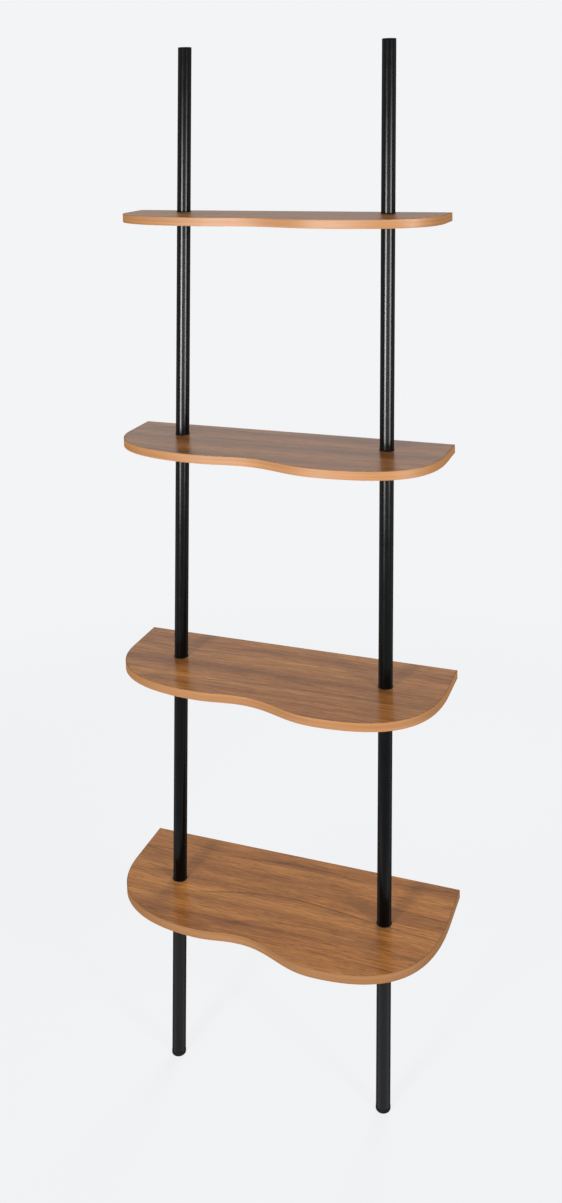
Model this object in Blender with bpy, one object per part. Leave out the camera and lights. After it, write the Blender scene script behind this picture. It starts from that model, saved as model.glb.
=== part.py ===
"""Leaning ladder bookcase.

Four shelves with a wavy front are clamped between the sections of two round tubes.
The tubes lean back until their tops touch the wall, in one plane with the straight
back edges of the shelves. At each shelf a threaded stud runs through the board and
joins the plug in the tube section below to the plug in the section above.

The front faces -Y, the wall is at +Y and the floor is at Z = 0. Sizes are in metres.
"""
import math

import bmesh
import bpy

# Poles. The uprights between the shelves share what the other heights leave over.
OVERALL_HEIGHT = 1.850
LEG_HEIGHT = 0.2985
TOP_POST_HEIGHT = 0.299
POLE_SPACING = 0.390
LEAN = math.radians(4.4)
TUBE_DIAMETER = 0.025
TUBE_WALL = 0.0015

# Shelves, bottom to top
SHELF_WIDTH = 0.600
SHELF_DEPTHS = (0.278, 0.242, 0.209, 0.169)
BOARD_THICKNESS = 0.015
BAND_THICKNESS = 0.001

# Plan of the bottom shelf, which the others repeat at their own depth.
# Runs are measured from the sides, setbacks from the foremost point.
LEFT_SIDE_STRAIGHT = 0.098
LEFT_CORNER_RUN = 0.187
LEFT_LOBE_SETBACK = 0.027
DIP_SETBACK = 0.036
DIP_PLACE = 0.37
RIGHT_CORNER_RUN = 0.190
RIGHT_SIDE_STRAIGHT = 0.080
# How far each curve's tangents reach, as a share of its run
LEFT_SIDE_REACH = 0.71
LEFT_FRONT_REACH = 0.56
WAVE_REACH = 0.40
RIGHT_FRONT_REACH = 0.82
RIGHT_SIDE_REACH = 0.575

# Joints through the shelves
STUD_DIAMETER = 0.008
STUD_ENGAGEMENT = 0.018
PLUG_LENGTH = 0.024
RING_THICKNESS = 0.001
RING_LIP = 0.0008
RING_BORE = 0.018
EDGE_CHAMFER = 0.0003

# Ends of the poles
FOOT_RIM_HEIGHT = 0.006
FOOT_LIP = 0.0004
FOOT_ROUNDING = 0.0015
CAP_HEAD_HEIGHT = 0.002
CAP_ROUNDING = 0.001
SPIGOT_LENGTH = 0.015

# Clearances
SEAT_GAP = 0.0003
SLIDE_GAP = 0.0003
STUD_GAP = 0.0003
HOLE_CLEARANCE = 0.0005

# Faceting
TUBE_SIDES = 32
STUD_SIDES = 16
CORNER_STEPS = 14
WAVE_STEPS = 9
ROUNDING_STEPS = 3
CUTTER_OVERRUN = 0.005
SMOOTH_ANGLE = math.radians(35)

SHELF_NAMES = ("bottom_shelf", "second_shelf", "third_shelf", "top_shelf")
SECTION_NAMES = ("leg", "lower_upright", "middle_upright", "upper_upright", "top_post")
SIDES = (("left", -1), ("right", 1))

# Derived sizes
TUBE_RADIUS = TUBE_DIAMETER / 2
TUBE_BORE_RADIUS = TUBE_RADIUS - TUBE_WALL
FITTED_RADIUS = TUBE_BORE_RADIUS - SLIDE_GAP
STUD_RADIUS = STUD_DIAMETER / 2
BOARD_INSET = BAND_THICKNESS + SEAT_GAP
WALL_Y = SHELF_DEPTHS[0] / 2
UPRIGHT_COUNT = len(SHELF_DEPTHS) - 1
RING_SEAT = SEAT_GAP + RING_THICKNESS + SEAT_GAP
SHELF_STACK = SEAT_GAP + BOARD_THICKNESS + RING_SEAT
LEG_BOTTOM = FOOT_RIM_HEIGHT + SEAT_GAP
POST_TOP = OVERALL_HEIGHT - CAP_HEAD_HEIGHT - SEAT_GAP
ALL_UPRIGHTS = POST_TOP - TOP_POST_HEIGHT - LEG_HEIGHT - LEG_BOTTOM - len(SHELF_DEPTHS) * SHELF_STACK
UPRIGHT_HEIGHT = ALL_UPRIGHTS / UPRIGHT_COUNT
TUBE_HEIGHTS = (LEG_HEIGHT,) + (UPRIGHT_HEIGHT,) * UPRIGHT_COUNT + (TOP_POST_HEIGHT,)


def tube_bottom(section):
    """Height of a tube section's lower end, counted from the leg up."""
    return LEG_BOTTOM + sum(TUBE_HEIGHTS[:section]) + section * SHELF_STACK


def tube_top(section):
    """Height of a tube section's upper end."""
    return tube_bottom(section) + TUBE_HEIGHTS[section]


def board_bottom(shelf):
    """Height of a shelf's underside, which rests on the section below it."""
    return tube_top(shelf) + SEAT_GAP


def axis_y(height):
    """Distance of the leaning pole axis from the middle of the part at a height."""
    top_axis_y = WALL_Y - TUBE_RADIUS / math.cos(LEAN)
    return top_axis_y - (OVERALL_HEIGHT - height) * math.tan(LEAN)


def clear_scene():
    """Removes whatever the file holds."""
    for item in list(bpy.data.objects):
        bpy.data.objects.remove(item, do_unlink=True)


def make_material(name, colour, roughness, metallic):
    """A plain finish: base colour, roughness and metallic value."""
    material = bpy.data.materials.new(name)
    material.use_nodes = True
    shader = material.node_tree.nodes["Principled BSDF"]
    shader.inputs["Base Color"].default_value = (*colour, 1.0)
    shader.inputs["Roughness"].default_value = roughness
    shader.inputs["Metallic"].default_value = metallic
    return material


def make_empty(name, parent, location):
    """A reference point that pieces are placed from."""
    empty = bpy.data.objects.new(name, None)
    empty.location = location
    empty.parent = parent
    bpy.context.collection.objects.link(empty)
    return empty


def make_object(name, bm, material, parent, location, smooth):
    """Turns a finished bmesh into a named object under its parent."""
    bmesh.ops.recalc_face_normals(bm, faces=bm.faces)
    mesh = bpy.data.meshes.new(name)
    bm.to_mesh(mesh)
    bm.free()
    if smooth:
        mesh.shade_smooth()
        mesh.set_sharp_from_angle(angle=SMOOTH_ANGLE)
    mesh.materials.append(material)
    item = bpy.data.objects.new(name, mesh)
    item.location = location
    item.parent = parent
    bpy.context.collection.objects.link(item)
    return item


def leaning_ring(bm, radius, height, sides):
    """A level section through a leaning round bar, at a height above the bar's origin."""
    ring = []
    for step in range(sides):
        angle = 2 * math.pi * step / sides
        x = radius * math.cos(angle)
        y = radius * math.sin(angle) / math.cos(LEAN) + height * math.tan(LEAN)
        ring.append(bm.verts.new((x, y, height)))
    return ring


def bridge(bm, lower, upper):
    """Joins two rings of equal count with four-sided faces."""
    count = len(lower)
    for i in range(count):
        j = (i + 1) % count
        bm.faces.new((lower[i], lower[j], upper[j], upper[i]))


def leaning_bar(profile, sides):
    """A solid bar with level ends, from (radius, height) pairs listed from the bottom up."""
    bm = bmesh.new()
    rings = [leaning_ring(bm, radius, height, sides) for radius, height in profile]
    for lower, upper in zip(rings, rings[1:]):
        bridge(bm, lower, upper)
    bm.faces.new(rings[0])
    bm.faces.new(rings[-1])
    return bm


def leaning_sleeve(profile, sides):
    """A hollow bar with level ends, from a closed loop of (radius, height) pairs."""
    bm = bmesh.new()
    rings = [leaning_ring(bm, radius, height, sides) for radius, height in profile]
    for lower, upper in zip(rings, rings[1:] + rings[:1]):
        bridge(bm, lower, upper)
    return bm


def sleeve_profile(outer_radius, inner_radius, height):
    """The four corners of a plain sleeve's wall."""
    return [(outer_radius, 0), (outer_radius, height), (inner_radius, height), (inner_radius, 0)]


def rounded_rim(radius, rounding, height, direction):
    """Profile points that round a rim off towards the end at a height.

    The direction is 1 for an upper end and -1 for a lower one, and the points run
    from the side of the bar to its end.
    """
    points = []
    for step in range(ROUNDING_STEPS + 1):
        angle = math.pi / 2 * step / ROUNDING_STEPS
        inward = rounding * (1 - math.cos(angle))
        along = rounding * (1 - math.sin(angle))
        points.append((radius - inward, height - direction * along))
    return points


def curve_points(start, start_tangent, end_tangent, end, steps):
    """Points along a cubic curve, without its first one."""
    points = []
    for step in range(1, steps + 1):
        t = step / steps
        s = 1 - t
        weights = (s * s * s, 3 * s * s * t, 3 * s * t * t, t * t * t)
        corners = (start, start_tangent, end_tangent, end)
        x = sum(w * c[0] for w, c in zip(weights, corners))
        depth = sum(w * c[1] for w, c in zip(weights, corners))
        points.append((x, depth))
    return points


def shelf_outline(depth):
    """The left side, wavy front and right side of a shelf as (x, distance from the wall)."""
    scale = depth / SHELF_DEPTHS[0]
    half = SHELF_WIDTH / 2
    left = (-half, LEFT_SIDE_STRAIGHT * scale)
    left_lobe = (-half + LEFT_CORNER_RUN, depth - LEFT_LOBE_SETBACK * scale)
    right_lobe = (half - RIGHT_CORNER_RUN, depth)
    dip_x = left_lobe[0] + DIP_PLACE * (right_lobe[0] - left_lobe[0])
    dip = (dip_x, depth - DIP_SETBACK * scale)
    right = (half, RIGHT_SIDE_STRAIGHT * scale)

    points = [(-half, 0), left]
    points += curve_points(
        left,
        (left[0], left[1] + LEFT_SIDE_REACH * (left_lobe[1] - left[1])),
        (left_lobe[0] - LEFT_FRONT_REACH * LEFT_CORNER_RUN, left_lobe[1]),
        left_lobe,
        CORNER_STEPS,
    )
    for start, end in ((left_lobe, dip), (dip, right_lobe)):
        reach = WAVE_REACH * (end[0] - start[0])
        points += curve_points(
            start, (start[0] + reach, start[1]), (end[0] - reach, end[1]), end, WAVE_STEPS
        )
    points += curve_points(
        right_lobe,
        (right_lobe[0] + RIGHT_FRONT_REACH * RIGHT_CORNER_RUN, right_lobe[1]),
        (right[0], right[1] + RIGHT_SIDE_REACH * (right_lobe[1] - right[1])),
        right,
        CORNER_STEPS,
    )
    points.append((half, 0))
    return points


def inset_outline(points, inset):
    """The same outline moved inwards by a distance, square to each of its edges."""
    inner = []
    for i, (x, depth) in enumerate(points):
        before = points[max(i - 1, 0)]
        after = points[min(i + 1, len(points) - 1)]
        normals = []
        for a, b in ((before, (x, depth)), ((x, depth), after)):
            length = math.hypot(b[0] - a[0], b[1] - a[1])
            if length > 0:
                normals.append(((b[1] - a[1]) / length, -(b[0] - a[0]) / length))
        nx = sum(n[0] for n in normals) / len(normals)
        nd = sum(n[1] for n in normals) / len(normals)
        stretch = inset / (nx * nx + nd * nd)
        inner.append((x + nx * stretch, depth + nd * stretch))
    return inner


def prism(points, thickness):
    """An upright plate with a plan outline, its underside at the origin."""
    bm = bmesh.new()
    face = bm.faces.new([bm.verts.new((x, -depth, 0)) for x, depth in points])
    raised = bmesh.ops.extrude_face_region(bm, geom=[face])["geom"]
    top = [item for item in raised if isinstance(item, bmesh.types.BMVert)]
    bmesh.ops.translate(bm, verts=top, vec=(0, 0, thickness))
    return bm


def make_board(name, outline, shelf, material, parent):
    """A shelf's core board, with a leaning hole for each stud."""
    inner = inset_outline(outline, BOARD_INSET)
    inner[0] = (inner[0][0], BOARD_INSET)
    inner[-1] = (inner[-1][0], BOARD_INSET)
    board = make_object(f"{name}_board", prism(inner, BOARD_THICKNESS), material, parent, (0, 0, 0), False)
    bottom = board_bottom(shelf) - CUTTER_OVERRUN
    height = BOARD_THICKNESS + 2 * CUTTER_OVERRUN
    radius = STUD_RADIUS + HOLE_CLEARANCE
    for side, sign in SIDES:
        hole = leaning_bar([(radius, 0), (radius, height)], STUD_SIDES)
        place = (sign * POLE_SPACING / 2, axis_y(bottom) - WALL_Y, -CUTTER_OVERRUN)
        cutter = make_object(f"{side}_{name}_hole", hole, material, parent, place, False)
        cutter.hide_render = True
        cutter.display_type = "WIRE"
        cut = board.modifiers.new(f"{side} stud hole", "BOOLEAN")
        cut.operation = "DIFFERENCE"
        cut.solver = "EXACT"
        cut.object = cutter


def make_edging(name, outline, material, parent):
    """The band round a shelf's sides and front, and the strip along its back edge."""
    band = inset_outline(outline, BAND_THICKNESS)
    plan = outline + band[::-1]
    make_object(f"{name}_edge_band", prism(plan, BOARD_THICKNESS), material, parent, (0, 0, 0), True)
    end = SHELF_WIDTH / 2 - BOARD_INSET
    strip = [(-end, 0), (-end, BAND_THICKNESS), (end, BAND_THICKNESS), (end, 0)]
    make_object(f"{name}_back_strip", prism(strip, BOARD_THICKNESS), material, parent, (0, 0, 0), False)


def make_shelf(shelf, materials, root):
    """One shelf, placed by the wall edge of its underside."""
    name = SHELF_NAMES[shelf]
    shelf_origin = make_empty(name, root, (0, WALL_Y, board_bottom(shelf)))
    outline = shelf_outline(SHELF_DEPTHS[shelf])
    make_board(name, outline, shelf, materials["laminate"], shelf_origin)
    make_edging(name, outline, materials["edging"], shelf_origin)


def make_on_axis(name, bm, material, pole, height):
    """A round piece on the pole's axis, standing at a height."""
    place = (0, axis_y(height) - axis_y(0), height)
    make_object(name, bm, material, pole, place, True)


def make_tubes(side, materials, pole):
    """The five tube sections of one pole, and the threaded plugs in their ends."""
    tube_wall = TUBE_RADIUS, TUBE_BORE_RADIUS
    plug_wall = FITTED_RADIUS, STUD_RADIUS + STUD_GAP
    last = len(SECTION_NAMES) - 1
    for section, section_name in enumerate(SECTION_NAMES):
        name = f"{side}_{section_name}"
        bottom = tube_bottom(section)
        tube = leaning_sleeve(sleeve_profile(*tube_wall, TUBE_HEIGHTS[section]), TUBE_SIDES)
        make_on_axis(name, tube, materials["powder_coat"], pole, bottom)
        if section > 0:
            plug = leaning_sleeve(sleeve_profile(*plug_wall, PLUG_LENGTH), STUD_SIDES)
            make_on_axis(f"{name}_lower_plug", plug, materials["zinc"], pole, bottom)
        if section < last:
            plug = leaning_sleeve(sleeve_profile(*plug_wall, PLUG_LENGTH), STUD_SIDES)
            place = tube_top(section) - PLUG_LENGTH
            make_on_axis(f"{name}_upper_plug", plug, materials["zinc"], pole, place)


def make_joints(side, materials, pole):
    """The stud through each shelf, and the ring that the tube above it stands on."""
    for shelf, shelf_name in enumerate(SHELF_NAMES):
        stud_bottom = tube_top(shelf) - STUD_ENGAGEMENT
        stud_length = tube_bottom(shelf + 1) + STUD_ENGAGEMENT - stud_bottom
        end_radius = STUD_RADIUS - EDGE_CHAMFER
        stud_profile = [
            (end_radius, 0),
            (STUD_RADIUS, EDGE_CHAMFER),
            (STUD_RADIUS, stud_length - EDGE_CHAMFER),
            (end_radius, stud_length),
        ]
        stud = leaning_bar(stud_profile, STUD_SIDES)
        make_on_axis(f"{side}_{shelf_name}_stud", stud, materials["zinc"], pole, stud_bottom)

        rim = TUBE_RADIUS + RING_LIP
        ring_profile = [
            (rim, 0),
            (rim, RING_THICKNESS - EDGE_CHAMFER),
            (rim - EDGE_CHAMFER, RING_THICKNESS),
            (RING_BORE / 2, RING_THICKNESS),
            (RING_BORE / 2, 0),
        ]
        ring = leaning_sleeve(ring_profile, TUBE_SIDES)
        ring_bottom = board_bottom(shelf) + BOARD_THICKNESS + SEAT_GAP
        make_on_axis(f"{side}_{shelf_name}_ring", ring, materials["plastic"], pole, ring_bottom)


def make_pole_ends(side, materials, pole):
    """The foot pushed into the leg and the cap pushed into the top post."""
    rim = TUBE_RADIUS + FOOT_LIP
    foot_profile = rounded_rim(rim, FOOT_ROUNDING, 0, -1)[::-1]
    foot_profile += [
        (rim, FOOT_RIM_HEIGHT - EDGE_CHAMFER),
        (rim - EDGE_CHAMFER, FOOT_RIM_HEIGHT),
        (FITTED_RADIUS, FOOT_RIM_HEIGHT),
        (FITTED_RADIUS, FOOT_RIM_HEIGHT + SPIGOT_LENGTH),
    ]
    foot = leaning_bar(foot_profile, TUBE_SIDES)
    make_on_axis(f"{side}_foot", foot, materials["rubber"], pole, 0)

    head_top = SPIGOT_LENGTH + CAP_HEAD_HEIGHT
    cap_profile = [(FITTED_RADIUS, 0), (FITTED_RADIUS, SPIGOT_LENGTH), (TUBE_RADIUS, SPIGOT_LENGTH)]
    cap_profile += rounded_rim(TUBE_RADIUS, CAP_ROUNDING, head_top, 1)
    cap = leaning_bar(cap_profile, TUBE_SIDES)
    make_on_axis(f"{side}_top_cap", cap, materials["plastic"], pole, OVERALL_HEIGHT - head_top)


def main():
    """Builds the shelves and the two poles."""
    clear_scene()
    materials = {
        "laminate": make_material("Wood laminate", (0.37, 0.19, 0.09), 0.42, 0.0),
        "edging": make_material("Edge band", (0.56, 0.28, 0.13), 0.5, 0.0),
        "powder_coat": make_material("Black powder coat", (0.012, 0.011, 0.011), 0.4, 0.0),
        "zinc": make_material("Zinc plated steel", (0.62, 0.62, 0.60), 0.35, 1.0),
        "plastic": make_material("Black plastic", (0.015, 0.015, 0.015), 0.5, 0.0),
        "rubber": make_material("Black rubber", (0.02, 0.02, 0.02), 0.8, 0.0),
    }
    root = make_empty("bookcase", None, (0, 0, 0))
    for shelf in range(len(SHELF_NAMES)):
        make_shelf(shelf, materials, root)
    for side, sign in SIDES:
        pole = make_empty(f"{side}_pole", root, (sign * POLE_SPACING / 2, axis_y(0), 0))
        make_tubes(side, materials, pole)
        make_joints(side, materials, pole)
        make_pole_ends(side, materials, pole)


main()
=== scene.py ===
"""Ladder bookcase: four wavy wood-look shelves clamped on two leaning black poles.

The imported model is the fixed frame. Finer pieces replace its nodes where they stand, each with
a procedural finish, and a plain studio with a pale floor shows them from the photograph's angle.
Sizes are in metres. The front faces -Y, the wall is at +Y and the floor is at Z = 0.
"""

import logging
import math
from dataclasses import dataclass, field
from enum import Enum
from typing import Sequence, Union

import bmesh
import bpy
from bmesh.types import BMesh
from bpy.types import ID, Collection, Material, Mesh, Node, NodeTree, Object
from bpy.types import NodeSocket as Socket
from mathutils import Matrix, Vector


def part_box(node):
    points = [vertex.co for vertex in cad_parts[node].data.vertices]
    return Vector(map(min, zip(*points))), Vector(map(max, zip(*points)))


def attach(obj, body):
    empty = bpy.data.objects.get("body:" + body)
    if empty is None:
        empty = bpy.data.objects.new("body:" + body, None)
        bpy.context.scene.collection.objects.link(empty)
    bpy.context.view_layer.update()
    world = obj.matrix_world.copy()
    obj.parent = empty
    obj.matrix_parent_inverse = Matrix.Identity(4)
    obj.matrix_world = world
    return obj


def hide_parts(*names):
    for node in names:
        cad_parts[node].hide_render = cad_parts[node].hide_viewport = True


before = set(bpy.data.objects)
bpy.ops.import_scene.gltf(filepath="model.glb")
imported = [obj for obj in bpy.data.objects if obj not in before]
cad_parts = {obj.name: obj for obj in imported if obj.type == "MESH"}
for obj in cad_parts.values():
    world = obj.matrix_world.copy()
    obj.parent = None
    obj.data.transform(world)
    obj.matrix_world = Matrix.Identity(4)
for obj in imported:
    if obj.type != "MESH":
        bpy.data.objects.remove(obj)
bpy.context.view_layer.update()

LOG = logging.getLogger("ladder_bookcase")
SMOOTH_ANGLE = math.radians(32)

Triple = tuple[float, float, float]
Colour = Triple
PlanPoint = tuple[float, float]
SocketValue = Union[Socket, float, int, bool, tuple, Material, Object]


class Side(Enum):
    """The two poles, with the sign of their place across the bookcase."""

    LEFT = -1
    RIGHT = 1

    @property
    def word(self) -> str:
        """The side's name as the nodes spell it."""
        return self.name.lower()


class Slot(Enum):
    """The record's material slots."""

    LAMINATE = "laminate"
    EDGING = "edging"
    POWDER_COAT = "powder_coat"
    ZINC = "zinc"
    PLASTIC = "plastic"
    RUBBER = "rubber"


Finishes = dict[Slot, Material]


class Graph:
    """Adds nodes to one node tree and wires them up."""

    def __init__(self, tree: NodeTree) -> None:
        """Keeps the tree that the nodes go into."""
        self.tree = tree

    def feed(self, socket: Socket, value: SocketValue) -> None:
        """Gives an input its value, or links it where the value is a socket.

        Args:
            socket: The input.
            value: What goes in.
        """
        if isinstance(value, Socket):
            self.tree.links.new(value, socket)
        else:
            socket.default_value = value

    def node(
        self, kind: str, inputs: dict[str | int, SocketValue] | None = None, **settings: object
    ) -> Node:
        """Adds a node.

        Args:
            kind: Blender's type name of the node.
            inputs: Values or output sockets for its inputs, by name or index.
            **settings: Properties of the node itself.

        Returns:
            The new node.
        """
        made = self.tree.nodes.new(kind)
        for key, value in settings.items():
            setattr(made, key, value)
        for key, value in (inputs or {}).items():
            self.feed(made.inputs[key], value)
        return made

    def maths(self, operation: str, a: SocketValue, b: SocketValue = 0.0) -> Socket:
        """One sum of two values, by Blender's name of the operation."""
        return self.node("ShaderNodeMath", {0: a, 1: b}, operation=operation).outputs[0]

    def spread(self, value: Socket, low: float, high: float, to_low: float, to_high: float) -> Socket:
        """Maps the range from low to high to another range, with soft ends."""
        inputs = {"Value": value, "From Min": low, "From Max": high, "To Min": to_low, "To Max": to_high}
        return self.node("ShaderNodeMapRange", inputs, interpolation_type="SMOOTHSTEP").outputs["Result"]


class ShaderGraph(Graph):
    """A material's node tree with the few building blocks that the finishes share."""

    def __init__(self, name: str) -> None:
        """Makes an empty material with one shader.

        Args:
            name: The material's name.
        """
        self.material = bpy.data.materials.new(name)
        self.material.use_nodes = True
        super().__init__(self.material.node_tree)
        self.shader = self.tree.nodes["Principled BSDF"]
        self.place = self.node("ShaderNodeTexCoord").outputs["Object"]

    def shaded(self, colour: Socket, factor: Socket) -> Socket:
        """A colour made lighter or darker by a factor around 1."""
        made = self.node("ShaderNodeVectorMath", {0: colour, 3: factor}, operation="SCALE")
        return made.outputs["Vector"]


@dataclass(frozen=True)
class Pattern:
    """One scale of a finish's pattern: its cells, and the range that its values spread to."""

    cells_per_metre: Triple
    offset: Triple = (0.0, 0.0, 0.0)
    detail: float = 2.0
    roughness: float = 0.5
    span: tuple[float, float] = (0.3, 0.7)
    to: tuple[float, float] = (0.0, 1.0)

    def value(self, g: ShaderGraph, place: Socket) -> Socket:
        """Soft noise with the pattern's cells.

        Args:
            g: The finish's tree.
            place: The coordinates.

        Returns:
            A value around a half.
        """
        inputs = {"Vector": place, "Scale": self.cells_per_metre, "Location": self.offset}
        scaled = g.node("ShaderNodeMapping", inputs).outputs["Vector"]
        inputs = {"Vector": scaled, "Scale": 1.0, "Detail": self.detail, "Roughness": self.roughness}
        return g.node("ShaderNodeTexNoise", inputs).outputs["Fac"]

    def ranged(self, g: ShaderGraph, value: Socket) -> Socket:
        """The pattern's value, spread to its range."""
        return g.spread(value, *self.span, *self.to)


@dataclass(frozen=True)
class Finish:
    """What every finish has: colours, a gloss that changes at flat angles, and a relief."""

    name: str
    colours: tuple[Colour, ...]
    roughness: float
    grazing_roughness: float
    relief_depth: float
    specular: float = 0.12
    stops: tuple[float, ...] = (0.35, 0.65)
    grazing_turn: tuple[float, float] = (0.22, 0.62)
    relief_strength: float = 0.25
    metallic: float = 0.0

    def tinted(self, g: ShaderGraph, value: Socket) -> Socket:
        """The finish's colours along a value.

        Args:
            g: The finish's tree.
            value: The value.

        Returns:
            The colour.
        """
        made = g.node("ShaderNodeValToRGB", {"Fac": value})
        elements = made.color_ramp.elements
        while len(elements) < len(self.stops):
            elements.new(0.5)
        for element, place, colour in zip(elements, self.stops, self.colours):
            element.position = place
            element.color = (*colour, 1.0)
        return made.outputs["Color"]

    def closed(self, g: ShaderGraph, colour: Socket, uneven: Socket, height: Socket) -> Material:
        """Wires up the shader.

        Args:
            g: The finish's tree.
            colour: The colour.
            uneven: What the roughness changes by from place to place.
            height: The relief's height, from 0 to 1.

        Returns:
            The material.
        """
        facing = g.node("ShaderNodeLayerWeight", {"Blend": 0.5}).outputs["Facing"]
        gloss = g.spread(facing, *self.grazing_turn, self.roughness, self.grazing_roughness)
        inputs = {"Height": height, "Distance": self.relief_depth, "Strength": self.relief_strength}
        values = {
            "Base Color": colour,
            "Roughness": g.maths("ADD", gloss, uneven),
            "Specular IOR Level": self.specular,
            "Metallic": self.metallic,
            "Normal": g.node("ShaderNodeBump", inputs).outputs["Normal"],
        }
        for name, value in values.items():
            g.feed(g.shader.inputs[name], value)
        return g.material


@dataclass(frozen=True)
class LaminateFinish(Finish):
    """Satin wood-grain laminate, with the grain along the shelf."""

    wander: Pattern = Pattern((1.6, 6.0, 3.0), detail=1.0)
    wander_width: float = 0.055
    bands: Pattern = Pattern((1.3, 24.0, 7.3), roughness=0.45, span=(0.25, 0.75), to=(-0.02, 0.02))
    streaks: Pattern = Pattern((2.2, 90.0, 11.0), (3.1, 0.7, 0.0), 2.5, 0.6, to=(0.86, 1.14))
    patches: Pattern = Pattern((4.5, 34.0, 9.7), (1.7, 5.3, 0.0), 1.5, span=(0.60, 0.74), to=(1.0, 0.76))
    fibre: Pattern = Pattern(
        (22.0, 430.0, 60.0), detail=2.5, roughness=0.6, span=(0.25, 0.75), to=(0.72, 1.28)
    )
    fibre_height: float = 0.5
    pores: Pattern = Pattern((70.0, 1000.0, 60.0), (5.0, 2.0, 1.0), detail=0.0, span=(0.62, 0.72))
    pore_shade: float = 0.66
    rings_per_metre: float = 16.0
    ring_drift: Pattern = Pattern((1.2, 3.4, 2.6), (4.4, 2.9, 0.0), detail=1.0)
    drift_rings: float = 5.0
    ring_marks: Pattern = Pattern((1.4, 11.0, 5.9), (6.3, 1.1, 0.0), span=(0.40, 0.62))
    late_start: float = 0.30
    late_shade: float = 0.16
    line_start: float = 0.91
    line_end: float = 0.985
    line_shade: float = 0.30

    def late_wood(self, g: ShaderGraph, grain: Socket) -> Socket:
        """Growth rings that darken slowly and end in a thin line, strong in some places only.

        Args:
            g: The finish's tree.
            grain: Coordinates that wander with the grain.

        Returns:
            The factor on the colour.
        """
        across = g.node("ShaderNodeSeparateXYZ", {0: grain}).outputs["Y"]
        drift = g.maths("MULTIPLY", self.ring_drift.value(g, grain), self.drift_rings)
        ring = g.maths("FRACT", g.maths("ADD", g.maths("MULTIPLY", across, self.rings_per_metre), drift))
        late = g.spread(ring, self.late_start, 1.0, 0.0, self.late_shade)
        line = g.spread(ring, self.line_start, self.line_end, 0.0, self.line_shade)
        marked = self.ring_marks.ranged(g, self.ring_marks.value(g, grain))
        return g.maths("SUBTRACT", 1.0, g.maths("MULTIPLY", g.maths("ADD", late, line), marked))

    def material(self) -> Material:
        """Builds the finish.

        Returns:
            The material.
        """
        g = ShaderGraph(self.name)
        aside = g.maths("SUBTRACT", self.wander.value(g, g.place), 0.5)
        shift = g.node("ShaderNodeCombineXYZ", {"Y": g.maths("MULTIPLY", aside, self.wander_width)})
        grain = g.node("ShaderNodeVectorMath", {0: g.place, 1: shift.outputs[0]}, operation="ADD").outputs[0]
        bands = self.bands.value(g, grain)
        colour = g.shaded(self.tinted(g, bands), self.late_wood(g, grain))
        for pattern in (self.streaks, self.patches):
            colour = g.shaded(colour, pattern.ranged(g, pattern.value(g, grain)))
        fibre = self.fibre.value(g, g.place)
        colour = g.shaded(colour, self.fibre.ranged(g, fibre))
        pore = self.pores.ranged(g, self.pores.value(g, g.place))
        colour = g.shaded(colour, g.spread(pore, 0.0, 1.0, 1.0, self.pore_shade))
        height = g.maths("SUBTRACT", g.maths("MULTIPLY", fibre, self.fibre_height), pore)
        return self.closed(g, colour, self.bands.ranged(g, bands), height)


@dataclass(frozen=True)
class EdgingFinish(Finish):
    """Lighter edge band with a faint grain that follows its run."""

    bands: Pattern = Pattern((3.5, 1.0, 240.0), detail=1.0)
    fibre: Pattern = Pattern((14.0, 1.0, 1100.0), (2.0, 0.0, 0.0), detail=1.0, to=(-0.05, 0.05))
    fibre_shades: tuple[float, ...] = (0.25, 0.75, 0.96, 1.04)

    def material(self) -> Material:
        """Builds the finish.

        Returns:
            The material.
        """
        g = ShaderGraph(self.name)
        run = g.node("ShaderNodeAttribute", attribute_name="run").outputs["Fac"]
        height = g.node("ShaderNodeSeparateXYZ", {"Vector": g.place}).outputs["Z"]
        along = g.node("ShaderNodeCombineXYZ", {"X": run, "Z": height}).outputs[0]
        fibre = self.fibre.value(g, along)
        colour = self.tinted(g, self.bands.value(g, along))
        colour = g.shaded(colour, g.spread(fibre, *self.fibre_shades))
        return self.closed(g, colour, self.fibre.ranged(g, fibre), fibre)


@dataclass(frozen=True, kw_only=True)
class CoatFinish(Finish):
    """A dark coat or moulding: a mottled colour, a fine skin and a roughness that varies."""

    skin_per_metre: float
    cloud: Pattern = Pattern((45.0, 45.0, 30.0), to=(-0.02, 0.02))

    def material(self) -> Material:
        """Builds the finish.

        Returns:
            The material.
        """
        g = ShaderGraph(self.name)
        cloud = self.cloud.value(g, g.place)
        grain = Pattern((self.skin_per_metre,) * 3, roughness=0.55, to=(0.88, 1.12))
        skin = grain.value(g, g.place)
        colour = g.shaded(self.tinted(g, cloud), grain.ranged(g, skin))
        return self.closed(g, colour, self.cloud.ranged(g, cloud), skin)


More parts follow.
